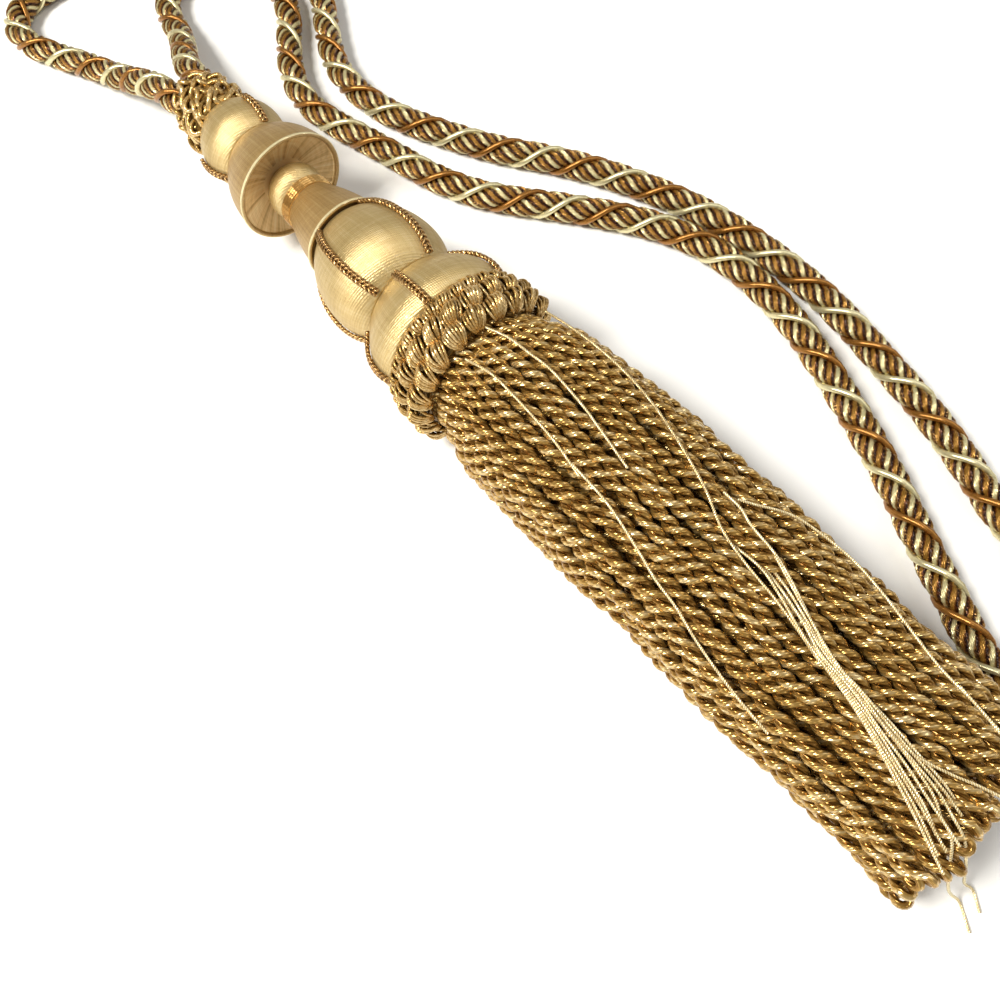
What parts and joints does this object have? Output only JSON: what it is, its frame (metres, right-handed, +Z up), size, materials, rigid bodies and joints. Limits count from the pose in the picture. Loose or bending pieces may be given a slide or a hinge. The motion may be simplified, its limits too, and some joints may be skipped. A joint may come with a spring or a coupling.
{
  "type": "curtain tieback tassel",
  "caption": "Curtain tieback: a tassel with satin-wound turned moulds, looped ruffs and a bullion skirt, on a loop of thick twisted rope that embraces the curtain.",
  "frame": {"origin": "on the surface that the tassel lies on, under the middle of the tassel without its rope", "axes": "+X along the tassel, from the rope's end to the ends of the skirt; +Z up from the surface"},
  "size_m": [0.5241, 0.1515, 0.0558],
  "materials": {
    "satin_thread": "rayon satin thread wound from pole to pole over turned wood",
    "gimp": "antique gold looped gimp thread",
    "copper_cord": "two-ply copper and gold rayon cord",
    "rope_yarn": "gold, copper and ivory rayon plies",
    "bullion": "antique gold rayon bullion cord"
  },
  "bodies": {
    "root": {"embrace_rope": "rope_yarn", "top_ruff": "gimp", "upper_ball": "satin_thread", "ball_1_cord_1": "copper_cord", "ball_1_cord_2": "copper_cord", "ball_1_cord_3": "copper_cord", "saucer": "satin_thread", "neck_bead": "satin_thread", "neck_ring": "gimp", "bell": "satin_thread", "middle_ball": "satin_thread", "ball_2_cord_1": "copper_cord", "ball_2_cord_2": "copper_cord", "ball_2_cord_3": "copper_cord", "ball_2_cord_4": "copper_cord", "ball_2_cord_5": "copper_cord", "base_dome": "satin_thread", "dome_cord_1": "copper_cord", "dome_cord_2": "copper_cord", "dome_cord_3": "copper_cord", "dome_cord_4": "copper_cord", "dome_cord_5": "copper_cord", "ruff_small_row": "gimp", "ruff_upper_row": "gimp", "ruff_lower_row": "gimp", "skirt": "bullion"}
  },
  "joints": []
}
